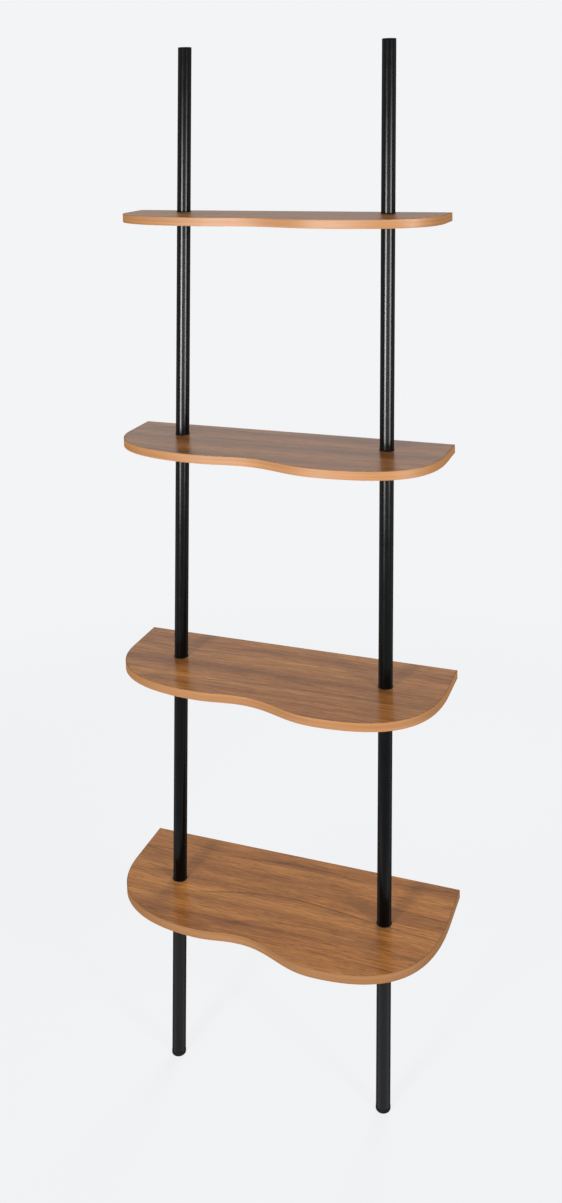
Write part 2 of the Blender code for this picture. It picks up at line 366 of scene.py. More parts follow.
FINISHES: dict[Slot, LaminateFinish | EdgingFinish | CoatFinish] = {
    Slot.LAMINATE: LaminateFinish(
        name="wood_laminate",
        colours=((0.296, 0.113, 0.032), (0.405, 0.161, 0.043), (0.492, 0.207, 0.058), (0.578, 0.260, 0.080)),
        stops=(0.30, 0.44, 0.56, 0.74),
        roughness=0.24,
        grazing_roughness=0.42,
        grazing_turn=(0.62, 0.95),
        specular=0.24,
        relief_depth=0.00006,
        relief_strength=0.12,
    ),
    Slot.EDGING: EdgingFinish(
        name="edge_band",
        colours=((0.330, 0.141, 0.042), (0.405, 0.185, 0.063)),
        stops=(0.32, 0.68),
        roughness=0.50,
        grazing_roughness=1.0,
        grazing_turn=(0.20, 0.65),
        specular=0.62,
        relief_depth=0.00003,
        relief_strength=0.08,
    ),
    Slot.POWDER_COAT: CoatFinish(
        name="black_powder_coat",
        colours=((0.0033, 0.0030, 0.0029), (0.0051, 0.0047, 0.0045)),
        roughness=0.19,
        grazing_roughness=1.0,
        relief_depth=0.000002,
        skin_per_metre=1700.0,
    ),
    Slot.PLASTIC: CoatFinish(
        name="black_moulded_plastic",
        colours=((0.0085, 0.0085, 0.0088), (0.0125, 0.0125, 0.0130)),
        roughness=0.55,
        grazing_roughness=0.7,
        relief_depth=0.00003,
        skin_per_metre=2600.0,
    ),
    Slot.RUBBER: CoatFinish(
        name="black_rubber",
        colours=((0.0130, 0.0128, 0.0126), (0.0185, 0.0182, 0.0180)),
        roughness=0.72,
        grazing_roughness=0.9,
        relief_depth=0.00008,
        skin_per_metre=1300.0,
    ),
    Slot.ZINC: CoatFinish(
        name="zinc_plate",
        colours=((0.50, 0.50, 0.49), (0.66, 0.66, 0.64)),
        roughness=0.32,
        grazing_roughness=0.36,
        specular=0.5,
        relief_depth=0.00004,
        skin_per_metre=900.0,
        metallic=1.0,
    ),
}


def linked(name: str, data: ID) -> Object:
    """Makes an object in the scene.

    Args:
        name: The object's name.
        data: The mesh, lamp or camera that it holds.

    Returns:
        The object.
    """
    made = bpy.data.objects.new(name, data)
    bpy.context.scene.collection.objects.link(made)
    return made


def applied(holder: Object) -> Mesh:
    """Turns an object with modifiers into a plain mesh.

    Args:
        holder: The object, which is removed with its own mesh.

    Returns:
        The mesh that its modifiers make.
    """
    base = holder.data
    seen = holder.evaluated_get(bpy.context.evaluated_depsgraph_get())
    made = bpy.data.meshes.new_from_object(seen)
    bpy.data.objects.remove(holder)
    bpy.data.meshes.remove(base)
    return made


def point_mesh(points: Sequence[Vector], chained: bool = False) -> Mesh:
    """Makes a mesh of points.

    Args:
        points: The points.
        chained: Joins them by edges to one open chain.

    Returns:
        The mesh.
    """
    edges = [(i, i + 1) for i in range(len(points) - 1)] if chained else []
    mesh = bpy.data.meshes.new("points")
    mesh.from_pydata([tuple(p) for p in points], edges, [])
    return mesh


def placed(name: str, mesh: Mesh, slot: Slot, nodes: Sequence[str]) -> Object:
    """Makes a piece stand for its nodes.

    Args:
        name: The piece's name.
        mesh: Its mesh, with its material, in the row frame.
        slot: The record's slot that its finish belongs to. It is not used.
        nodes: The nodes that it replaces.

    Returns:
        The piece.
    """
    piece = linked(name, weighted(mesh))
    piece.data.name = name
    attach(piece, "root")
    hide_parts(*nodes)
    LOG.info("%s: %d faces, stands for %d nodes", name, len(piece.data.polygons), len(nodes))
    return piece


def weighted(mesh: Mesh) -> Mesh:
    """Shades a mesh smoothly, with flat faces that stay flat next to their rounded edges.

    Args:
        mesh: The mesh, which is removed.

    Returns:
        The mesh with its normals weighted by face size.
    """
    mesh.shade_smooth()
    mesh.set_sharp_from_angle(angle=SMOOTH_ANGLE)
    holder = linked("weighted", mesh)
    holder.modifiers.new("weighted", "WEIGHTED_NORMAL").keep_sharp = True
    return applied(holder)


def closed_mesh(name: str, bm: BMesh, material: Material | None = None) -> Mesh:
    """Closes a bmesh into a mesh with outward faces.

    Args:
        name: The mesh's name.
        bm: The shape, which is freed.
        material: Its finish, if it has one yet.

    Returns:
        The mesh.
    """
    bmesh.ops.recalc_face_normals(bm, faces=bm.faces)
    mesh = bpy.data.meshes.new(name)
    bm.to_mesh(mesh)
    bm.free()
    if material is not None:
        mesh.materials.append(material)
    return mesh


class GrownTree(Graph):
    """A Geometry Nodes tree with named inputs, run once on a base mesh."""

    def __init__(
        self, name: str, floats: Sequence[str] = (), counts: Sequence[str] = (), objects: Sequence[str] = ()
    ) -> None:
        """Makes the tree's sockets: the base geometry, the named inputs and the finish.

        Args:
            name: The tree's name.
            floats: The inputs that are lengths or angles.
            counts: The inputs that are whole numbers.
            objects: The inputs that are objects.
        """
        super().__init__(bpy.data.node_groups.new(name, "GeometryNodeTree"))
        faces = self.tree.interface
        faces.new_socket(name="Geometry", in_out="INPUT", socket_type="NodeSocketGeometry")
        self.keys: dict[str, str] = {}
        kinds = {"Float": floats, "Int": counts, "Object": objects, "Material": ("Finish",)}
        for kind, labels in kinds.items():
            for label in labels:
                made = faces.new_socket(name=label, in_out="INPUT", socket_type=f"NodeSocket{kind}")
                self.keys[label] = made.identifier
        faces.new_socket(name="Geometry", in_out="OUTPUT", socket_type="NodeSocketGeometry")
        self.given = self.node("NodeGroupInput").outputs

    def close(self, geometry: Socket) -> None:
        """Ends the tree in realized instances with the finish set.

        Args:
            geometry: What the tree has made.
        """
        real = self.node("GeometryNodeRealizeInstances", {"Geometry": geometry}).outputs[0]
        inputs = {"Geometry": real, "Material": self.given["Finish"]}
        dressed = self.node("GeometryNodeSetMaterial", inputs).outputs[0]
        self.node("NodeGroupOutput", {0: dressed})

    def grow(self, base: Mesh, values: dict[str, SocketValue]) -> Mesh:
        """Runs the tree.

        Args:
            base: The mesh that it starts from, which is removed.
            values: The tree's inputs, by name.

        Returns:
            The result as a plain mesh.
        """
        holder = linked(base.name, base)
        modifier = holder.modifiers.new(self.tree.name, "NODES")
        modifier.node_group = self.tree
        for label, value in values.items():
            modifier[self.keys[label]] = value
        return applied(holder)


class EdgeSweep(GrownTree):
    """A flat strip with rounded edges, swept along a level path."""

    def __init__(self) -> None:
        """Builds the tree: path, rounded profile, sweep and the run along the path."""
        super().__init__("edge_sweep", ("Thickness", "Height", "Rounding"), ("Rounding Steps",))
        path = self.node("GeometryNodeMeshToCurve", {0: self.given["Geometry"]}).outputs[0]
        upright = self.node("GeometryNodeSetCurveNormal", {"Curve": path}, mode="Z_UP").outputs[0]
        length = self.node("GeometryNodeSplineParameter").outputs["Length"]
        inputs = {"Geometry": upright, "Name": "run", "Value": length}
        marked = self.node("GeometryNodeStoreNamedAttribute", inputs, data_type="FLOAT", domain="POINT")
        inputs = {"Width": self.given["Thickness"], "Height": self.given["Height"]}
        section = self.node("GeometryNodeCurvePrimitiveQuadrilateral", inputs, mode="RECTANGLE").outputs[0]
        inputs = {"Curve": section, "Radius": self.given["Rounding"], "Count": self.given["Rounding Steps"]}
        rounded = self.node("GeometryNodeFilletCurve", inputs, mode="POLY").outputs[0]
        inputs = {"Curve": marked.outputs[0], "Profile Curve": rounded, "Fill Caps": True}
        self.close(self.node("GeometryNodeCurveToMesh", inputs).outputs[0])


class SeatRepeat(GrownTree):
    """One turned piece, repeated on every seat."""

    def __init__(self) -> None:
        """Builds the tree: the seats are the base mesh's points."""
        super().__init__("seat_repeat", objects=("Piece",))
        piece = self.node("GeometryNodeObjectInfo", {"Object": self.given["Piece"]}).outputs["Geometry"]
        inputs = {"Points": self.given["Geometry"], "Instance": piece}
        self.close(self.node("GeometryNodeInstanceOnPoints", inputs).outputs["Instances"])

    def repeat(self, piece: Mesh, seats: Sequence[Vector], finish: Material) -> Mesh:
        """Repeats a mesh on its seats.

        Args:
            piece: The mesh, standing at the origin, which is removed.
            seats: Where it goes.
            finish: Its material.

        Returns:
            All of them as one mesh.
        """
        holder = linked("seat_piece", piece)
        made = self.grow(point_mesh(seats), {"Piece": holder, "Finish": finish})
        bpy.data.objects.remove(holder)
        bpy.data.meshes.remove(piece)
        return made


class ThreadedRod(GrownTree):
    """A rod with a rolled thread, repeated on its seats and tilted with the poles."""

    def __init__(self) -> None:
        """Builds the tree: a fine cylinder whose radius follows the thread's helix."""
        floats = ("Length", "Radius", "Thread Depth", "Pitch", "Chamfer", "Tilt")
        super().__init__("threaded_rod", floats, ("Sides", "Rows"))
        given, maths = self.given, self.maths
        inputs = {
            "Vertices": given["Sides"],
            "Side Segments": given["Rows"],
            "Radius": given["Radius"],
            "Depth": given["Length"],
        }
        rod = self.node("GeometryNodeMeshCylinder", inputs, fill_type="NGON").outputs["Mesh"]
        place = self.node("GeometryNodeInputPosition").outputs[0]
        x, y, z = self.node("ShaderNodeSeparateXYZ", {"Vector": place}).outputs
        turn = maths("DIVIDE", maths("ARCTAN2", y, x), 2 * math.pi)
        climb = maths("SUBTRACT", maths("DIVIDE", z, given["Pitch"]), turn)
        wave = maths("ABSOLUTE", maths("SUBTRACT", maths("FRACT", climb), 0.5))
        groove = maths("MULTIPLY", maths("MULTIPLY", wave, 2.0), given["Thread Depth"])
        to_end = maths("SUBTRACT", maths("MULTIPLY", given["Length"], 0.5), maths("ABSOLUTE", z))
        bevel = maths("MAXIMUM", maths("SUBTRACT", given["Chamfer"], to_end), 0.0)
        cut = maths("MAXIMUM", groove, bevel)
        share = maths("DIVIDE", maths("SUBTRACT", given["Radius"], cut), given["Radius"])
        inputs = {"X": maths("MULTIPLY", x, share), "Y": maths("MULTIPLY", y, share), "Z": z}
        moved = self.node("ShaderNodeCombineXYZ", inputs).outputs[0]
        threaded = self.node("GeometryNodeSetPosition", {"Geometry": rod, "Position": moved}).outputs[0]
        tilt = self.node("ShaderNodeCombineXYZ", {"X": given["Tilt"]}).outputs[0]
        inputs = {"Points": given["Geometry"], "Instance": threaded, "Rotation": tilt}
        self.close(self.node("GeometryNodeInstanceOnPoints", inputs).outputs["Instances"])


@dataclass(frozen=True)
class LadderPlan:
    """The names, places and lean that the shelves and poles share."""

    lean: float = math.radians(4.4)
    pole_spacing: float = 0.390
    tube_radius: float = 0.0125
    wall_y: float = 0.139
    overall_height: float = 1.850
    shelf_names: tuple[str, ...] = ("bottom_shelf", "second_shelf", "third_shelf", "top_shelf")
    shelf_depths: tuple[float, ...] = (0.278, 0.242, 0.209, 0.169)
    section_names: tuple[str, ...] = ("leg", "lower_upright", "middle_upright", "upper_upright", "top_post")

    def axis(self, side: Side, height: float) -> Vector:
        """The point on a pole's axis at a height above the floor."""
        ahead = self.tube_radius / math.cos(self.lean) + (self.overall_height - height) * math.tan(self.lean)
        return Vector((side.value * self.pole_spacing / 2, self.wall_y - ahead, height))

    def turned(self, profile: Sequence[PlanPoint], sides: int, closed: bool) -> BMesh:
        """A round piece with level ends that leans with the poles.

        Args:
            profile: Radius and height pairs. A closed profile is the loop of a wall, an open one
                runs from the bottom up and gets flat ends.
            sides: Faces round the piece.
            closed: Whether the profile is a loop.

        Returns:
            The shape, standing at the origin.
        """
        bm = bmesh.new()
        rings = []
        for radius, height in profile:
            ring = []
            for step in range(sides):
                angle = 2 * math.pi * step / sides
                y = radius * math.sin(angle) / math.cos(self.lean) + height * math.tan(self.lean)
                ring.append(bm.verts.new((radius * math.cos(angle), y, height)))
            rings.append(ring)
        pairs = list(zip(rings, rings[1:]))
        if closed:
            pairs.append((rings[-1], rings[0]))
        else:
            bm.faces.new(rings[0])
            bm.faces.new(rings[-1])
        for lower, upper in pairs:
            for i in range(sides):
                j = (i + 1) % sides
                bm.faces.new((lower[i], lower[j], upper[j], upper[i]))
        return bm


class Corner(Enum):
    """A corner of a turned profile: the signs of its outer or inner side and of its top or bottom."""

    OUTER_TOP = (1, 1)
    OUTER_BOTTOM = (1, -1)
    INNER_TOP = (-1, 1)
    INNER_BOTTOM = (-1, -1)


def rounding(radius: float, height: float, amount: float, corner: Corner, steps: int) -> list[PlanPoint]:
    """Profile points round a corner.

    Args:
        radius: Radius of the sharp corner.
        height: Height of the sharp corner.
        amount: Radius of the rounding.
        corner: Which corner of the profile it is.
        steps: Faces round the corner.

    Returns:
        The points, in the order of a profile that runs up its outside and down its inside.
    """
    side, end = corner.value
    points = []
    for step in range(steps + 1):
        angle = math.pi / 2 * step / steps
        r = radius - side * amount * (1 - math.cos(angle))
        h = height - end * amount * (1 - math.sin(angle))
        points.append((r, h))
    return points if side == end else points[::-1]


@dataclass
class Shelf:
    """One shelf: the grained board, the band round its sides and front, the strip on its back."""

    name: str
    depth: float
    plan: LadderPlan
    finishes: Finishes
    edges: EdgeSweep
    width: float = 0.600
    full_depth: float = 0.278
    board_inset: float = 0.0013
    band_thickness: float = 0.00126
    band_rounding: float = 0.0005
    band_rounding_steps: int = 4
    strip_end: float = 0.2987
    strip_steps: int = 24
    left_side: float = 0.098
    left_run: float = 0.187
    left_setback: float = 0.027
    dip_setback: float = 0.036
    dip_place: float = 0.37
    right_run: float = 0.190
    right_side: float = 0.080
    left_side_reach: float = 0.71
    left_front_reach: float = 0.56
    wave_reach: float = 0.40
    right_front_reach: float = 0.82
    right_side_reach: float = 0.575
    hole_radius: float = 0.0045
    hole_sides: int = 40
    corner_steps: int = 72
    wave_steps: int = 40
    bands: list[Object] = field(default_factory=list)

    def __post_init__(self) -> None:
        """Takes the shelf's heights from its board in the frame."""
        low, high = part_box(f"{self.name}_board")
        self.bottom, self.top = low.z, high.z

    def front_curves(self) -> list[tuple[PlanPoint, PlanPoint, PlanPoint, PlanPoint, int]]:
        """The four cubic curves of the wavy front.

        Returns:
            Corners and step count of each curve, as places across and distances from the wall.
        """
        scale = self.depth / self.full_depth
        half = self.width / 2
        start = (-half, self.left_side * scale)
        left = (-half + self.left_run, self.depth - self.left_setback * scale)
        right = (half - self.right_run, self.depth)
        dip = (left[0] + self.dip_place * (right[0] - left[0]), self.depth - self.dip_setback * scale)
        end = (half, self.right_side * scale)
        side_a = (start[0], start[1] + self.left_side_reach * (left[1] - start[1]))
        front_a = (left[0] - self.left_front_reach * self.left_run, left[1])
        curves = [(start, side_a, front_a, left, self.corner_steps)]
        for a, b in ((left, dip), (dip, right)):
            reach = self.wave_reach * (b[0] - a[0])
            curves.append((a, (a[0] + reach, a[1]), (b[0] - reach, b[1]), b, self.wave_steps))
        front_b = (right[0] + self.right_front_reach * self.right_run, right[1])
        side_b = (end[0], end[1] + self.right_side_reach * (right[1] - end[1]))
        return [*curves, (right, front_b, side_b, end, self.corner_steps)]

    def outline(self, inset: float, back: float) -> list[PlanPoint]:
        """The left side, wavy front and right side, moved inwards.

        Args:
            inset: How far inwards, square to the edge.
            back: How far from the wall the sides start.

        Returns:
            Points from the left back corner to the right one.
        """
        points: list[PlanPoint] = []
        for a, b, c, d, steps in self.front_curves():
            for step in range(steps if d[0] < self.width / 2 else steps + 1):
                t, s = step / steps, 1 - step / steps
                here = [
                    s**3 * a[i] + 3 * s * s * t * b[i] + 3 * s * t * t * c[i] + t**3 * d[i] for i in (0, 1)
                ]
                slope = [
                    s * s * (b[i] - a[i]) + 2 * s * t * (c[i] - b[i]) + t * t * (d[i] - c[i]) for i in (0, 1)
                ]
                size = math.hypot(*slope)
                points.append((here[0] + inset * slope[1] / size, here[1] - inset * slope[0] / size))
        return [(points[0][0], back), *points, (points[-1][0], back)]

    def spot(self, point: PlanPoint, height: float) -> Vector:
        """A plan point in the row frame at a height."""
        return Vector((point[0], self.plan.wall_y - point[1], height))

    def build_board(self) -> None:
        """The board, with the leaning hole for each stud."""
        bm = bmesh.new()
        rim = self.outline(self.board_inset, self.board_inset)
        levels = (self.bottom, self.top)
        angles = [2 * math.pi * step / self.hole_sides for step in range(self.hole_sides)]
        circle = [Vector((math.cos(a), math.sin(a), 0)) * self.hole_radius for a in angles]
        loops = [[[bm.verts.new(self.spot(p, z)) for p in rim] for z in levels]]
        for side in Side:
            loops.append([[bm.verts.new(self.plan.axis(side, z) + c) for c in circle] for z in levels])
        for level in (0, 1):
            rims = []
            for loop in loops:
                ring = loop[level]
                rims += [bm.edges.new((ring[i - 1], ring[i])) for i in range(len(ring))]
            bmesh.ops.triangle_fill(bm, edges=rims, use_beauty=True, normal=(0, 0, 1))
        for lower, upper in loops:
            for i in range(len(lower)):
                bm.faces.new((lower[i - 1], lower[i], upper[i], upper[i - 1]))
        mesh = closed_mesh("board", bm, self.finishes[Slot.LAMINATE])
        name = f"{self.name}_grained_board"
        placed(name, mesh, Slot.LAMINATE, [f"{self.name}_board"])

    def build_edge(self, name: str, points: Sequence[PlanPoint], node: str) -> Object:
        """A rounded strip along a plan path.

        Args:
            name: The piece's name.
            points: The middle of the strip.
            node: The node that it replaces.

        Returns:
            The piece.
        """
        middle = (self.bottom + self.top) / 2
        values = {
            "Thickness": self.band_thickness,
            "Height": self.top - self.bottom,
            "Rounding": self.band_rounding,
            "Rounding Steps": self.band_rounding_steps,
            "Finish": self.finishes[Slot.EDGING],
        }
        path = point_mesh([self.spot(p, middle) for p in points], chained=True)
        mesh = self.edges.grow(path, values)
        return placed(name, mesh, Slot.EDGING, [node])

    def build(self) -> None:
        """Builds and dresses the three pieces."""
        self.build_board()
        half = self.band_thickness / 2
        front = self.outline(half, 0.0)
        self.bands.append(self.build_edge(f"{self.name}_rounded_band", front, f"{self.name}_edge_band"))
        steps = self.strip_steps
        back = [(self.strip_end * (2 * i / steps - 1), half) for i in range(steps + 1)]
        self.build_edge(f"{self.name}_rounded_strip", back, f"{self.name}_back_strip")


@dataclass
class Pole:
    """One leaning pole: five tube sections, the cap in its top and the foot under it."""

    side: Side
    plan: LadderPlan
    finishes: Finishes
    tube_wall: float = 0.0015
    tube_rounding: float = 0.00035
    tube_sides: int = 96
    edge_steps: int = 3
    rim_steps: int = 6
    fitted_radius: float = 0.0107
    spigot: float = 0.015
    spigot_bevel: float = 0.0008
    cap_rounding: float = 0.001
    cap_edge: float = 0.0002
    cap_edge_steps: int = 2
    foot_lip: float = 0.0004
    foot_rim: float = 0.006
    foot_rounding: float = 0.0015
    groove_radius: float = 0.0075
    groove_width: float = 0.0016
    groove_depth: float = 0.0008
    groove_bevel: float = 0.0003
    tubes: list[Object] = field(default_factory=list)

    def stand(self, name: str, bm: BMesh, height: float, slot: Slot, node: str) -> Object:
        """Puts a turned shape on the pole's axis.

        Args:
            name: The piece's name.
            bm: The shape.
            height: The height that it stands at.
            slot: Its finish.
            node: The node that it replaces.

        Returns:
            The piece.
        """
        bmesh.ops.translate(bm, verts=bm.verts, vec=self.plan.axis(self.side, height))
        mesh = closed_mesh(name, bm, self.finishes[slot])
        return placed(name, mesh, slot, [node])

    def build_tubes(self) -> None:
        """The five sections, each with rounded end edges."""
        outer = self.plan.tube_radius
        inner = outer - self.tube_wall
        amount, steps = self.tube_rounding, self.edge_steps
        for section in self.plan.section_names:
            node = f"{self.side.word}_{section}"
            low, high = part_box(node)
            top = high.z - low.z
            profile = rounding(outer, 0, amount, Corner.OUTER_BOTTOM, steps)
            profile += rounding(outer, top, amount, Corner.OUTER_TOP, steps)
            profile += rounding(inner, top, amount, Corner.INNER_TOP, steps)
            profile += rounding(inner, 0, amount, Corner.INNER_BOTTOM, steps)
            bm = self.plan.turned(profile, self.tube_sides, True)
            self.tubes.append(self.stand(f"{node}_tube", bm, low.z, Slot.POWDER_COAT, node))

    def build_cap(self) -> None:
        """The cap: a bevelled spigot and a flat head with a rounded rim."""
        node = f"{self.side.word}_top_cap"
        low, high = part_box(node)
        top = high.z - low.z
        radius = self.plan.tube_radius
        profile = [
            (self.fitted_radius - self.spigot_bevel, 0.0),
            (self.fitted_radius, self.spigot_bevel),
            (self.fitted_radius, self.spigot),
        ]
        profile += rounding(radius, self.spigot, self.cap_edge, Corner.OUTER_BOTTOM, self.cap_edge_steps)
        profile += rounding(radius, top, self.cap_rounding, Corner.OUTER_TOP, self.rim_steps)
        bm = self.plan.turned(profile, self.tube_sides, False)
        self.stand(f"{node}_moulding", bm, low.z, Slot.PLASTIC, node)

    def build_foot(self) -> None:
        """The foot: a rounded rim wider than the tube, a grooved sole and a spigot."""
        node = f"{self.side.word}_foot"
        low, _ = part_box(node)
        rim = self.plan.tube_radius + self.foot_lip
        inside = self.groove_radius - self.groove_width / 2
        outside = self.groove_radius + self.groove_width / 2
        bevel = self.groove_bevel
        profile = [
            (inside - bevel, 0.0),
            (inside, bevel),
            (inside + bevel, self.groove_depth),
            (outside - bevel, self.groove_depth),
            (outside, bevel),
            (outside + bevel, 0.0),
        ]
        profile += rounding(rim, 0, self.foot_rounding, Corner.OUTER_BOTTOM, self.rim_steps)
        profile += rounding(rim, self.foot_rim, bevel, Corner.OUTER_TOP, self.edge_steps)
        profile += [
            (self.fitted_radius, self.foot_rim),
            (self.fitted_radius, self.foot_rim + self.spigot - self.spigot_bevel),
            (self.fitted_radius - self.spigot_bevel, self.foot_rim + self.spigot),
        ]
        bm = self.plan.turned(profile, self.tube_sides, False)
        self.stand(f"{node}_moulding", bm, low.z, Slot.RUBBER, node)

    def build(self) -> None:
        """Builds and dresses the pole's pieces."""
        self.build_tubes()
        self.build_cap()
        self.build_foot()


@dataclass
class Joints:
    """What clamps the shelves: rings under the tubes, plugs in their ends, studs between them."""

    plan: LadderPlan
    finishes: Finishes
    seater: SeatRepeat
    rod: ThreadedRod
    ring_radius: float = 0.0133
    ring_bore: float = 0.009
    ring_thickness: float = 0.001
    ring_rounding: float = 0.0004
    ring_steps: int = 4
    plug_radius: float = 0.0107
    plug_bore: float = 0.0043
    plug_length: float = 0.024
    plug_bevel: float = 0.0006
    stud_radius: float = 0.004
    thread_depth: float = 0.00062
    thread_pitch: float = 0.00125
    stud_chamfer: float = 0.0006
    stud_sides: int = 22
    rows_per_turn: int = 5
    ring_sides: int = 96
    plug_sides: int = 48

    def seats(self, nodes: Sequence[str], middle: bool = False) -> list[Vector]:
        """Where pieces stand on the poles' axes.

        Args:
            nodes: The nodes that they replace.
            middle: Takes the middle of each node instead of its lower end.

        Returns:
            One point for each node.
        """
        spots = []
        for node in nodes:
            low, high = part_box(node)
            side = Side.LEFT if low.x < 0 else Side.RIGHT
            spots.append(self.plan.axis(side, (low.z + high.z) / 2 if middle else low.z))
        return spots

    def build_rings(self) -> None:
        """The eight rings that the tubes stand on."""
        nodes = [f"{side.word}_{shelf}_ring" for side in Side for shelf in self.plan.shelf_names]
        top, radius = self.ring_thickness, self.ring_radius
        profile = rounding(radius, 0, self.ring_rounding, Corner.OUTER_BOTTOM, self.ring_steps)
        profile += rounding(radius, top, self.ring_rounding, Corner.OUTER_TOP, self.ring_steps)
        profile += [(self.ring_bore, top), (self.ring_bore, 0.0)]
        ring = closed_mesh("ring", self.plan.turned(profile, self.ring_sides, True))
        mesh = self.seater.repeat(ring, self.seats(nodes), self.finishes[Slot.PLASTIC])
        placed("tube_rings", mesh, Slot.PLASTIC, nodes)

    def build_plugs(self) -> None:
        """The sixteen plugs in the tube ends."""
        ends = [f"{name}_{end}_plug" for name in self.plan.section_names for end in ("lower", "upper")]
        nodes = [f"{side.word}_{end}" for side in Side for end in ends[1:-1]]
        bevel, length = self.plug_bevel, self.plug_length
        profile = [
            (self.plug_radius - bevel, 0.0),
            (self.plug_radius, bevel),
            (self.plug_radius, length - bevel),
            (self.plug_radius - bevel, length),
            (self.plug_bore + bevel, length),
            (self.plug_bore, length - bevel),
            (self.plug_bore, bevel),
            (self.plug_bore + bevel, 0.0),
        ]
        plug = closed_mesh("plug", self.plan.turned(profile, self.plug_sides, True))
        mesh = self.seater.repeat(plug, self.seats(nodes), self.finishes[Slot.ZINC])
        placed("tube_plugs", mesh, Slot.ZINC, nodes)

    def build_studs(self) -> None:
        """The eight threaded studs through the boards."""
        nodes = [f"{side.word}_{shelf}_stud" for side in Side for shelf in self.plan.shelf_names]
        low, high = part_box(nodes[0])
        length = high.z - low.z - 2 * self.stud_radius * math.sin(self.plan.lean)
        base = point_mesh(self.seats(nodes, middle=True))
        values = {
            "Length": length,
            "Radius": self.stud_radius,
            "Thread Depth": self.thread_depth,
            "Pitch": self.thread_pitch,
            "Chamfer": self.stud_chamfer,
            "Tilt": -self.plan.lean,
            "Sides": self.stud_sides,
            "Rows": round(length / self.thread_pitch * self.rows_per_turn),
            "Finish": self.finishes[Slot.ZINC],
        }
        placed("shelf_studs", self.rod.grow(base, values), Slot.ZINC, nodes)

    def build(self) -> None:
        """Builds and dresses the rings, plugs and studs."""
        self.build_rings()
        self.build_plugs()
        self.build_studs()


class LampRole(Enum):
    """What a lamp is there for: the pieces it reaches, and whether it lights them or shows in them."""

    LIGHT = "lights all but the bands and tubes"
    GLEAM = "lights the bands and shows in them"
    STREAK = "shows in the tubes"


@dataclass(frozen=True)
class Softbox:
    """A soft lamp that fades towards its ends. Its azimuth counts in degrees from the front."""

    name: str
    role: LampRole
    azimuth: float
    height: float
    size: tuple[float, float]
    radiance: float
    distance: float = 2.5
    tilt: float = math.radians(90)
    soft_spread: float = math.radians(95)
    wide_spread: float = math.radians(180)
    hump_gain: float = 6.0

    def build(self, reach: Collection) -> None:
        """Hangs the lamp and turns it to the bookcase.

        Args:
            reach: The pieces that it reaches or leaves out.
        """
        lamp = bpy.data.lights.new(self.name, "AREA")
        lamp.shape = "RECTANGLE"
        lamp.size, lamp.size_y = self.size
        lamp.spread = self.wide_spread if self.role is LampRole.STREAK else self.soft_spread
        lamp.energy = self.radiance * math.pi * self.size[0] * self.size[1]
        lamp.use_nodes = True
        g = Graph(lamp.node_tree)
        place = g.node("ShaderNodeNewGeometry").outputs["Parametric"]
        rise = g.node("ShaderNodeSeparateXYZ", {0: place}).outputs["Y"]
        hump = g.maths("MULTIPLY", rise, g.maths("SUBTRACT", 1.0, rise))
        strength = g.maths("MULTIPLY", hump, self.hump_gain)
        g.feed(g.tree.nodes["Emission"].inputs["Strength"], strength)
        holder = linked(self.name, lamp)
        holder.visible_camera = False
        holder.visible_diffuse = self.role is not LampRole.STREAK
        holder.visible_glossy = self.role is not LampRole.LIGHT
        holder.light_linking.receiver_collection = reach
        angle = math.radians(self.azimuth)
        holder.location = (self.distance * math.sin(angle), -self.distance * math.cos(angle), self.height)
        holder.rotation_euler = (self.tilt, 0.0, angle)


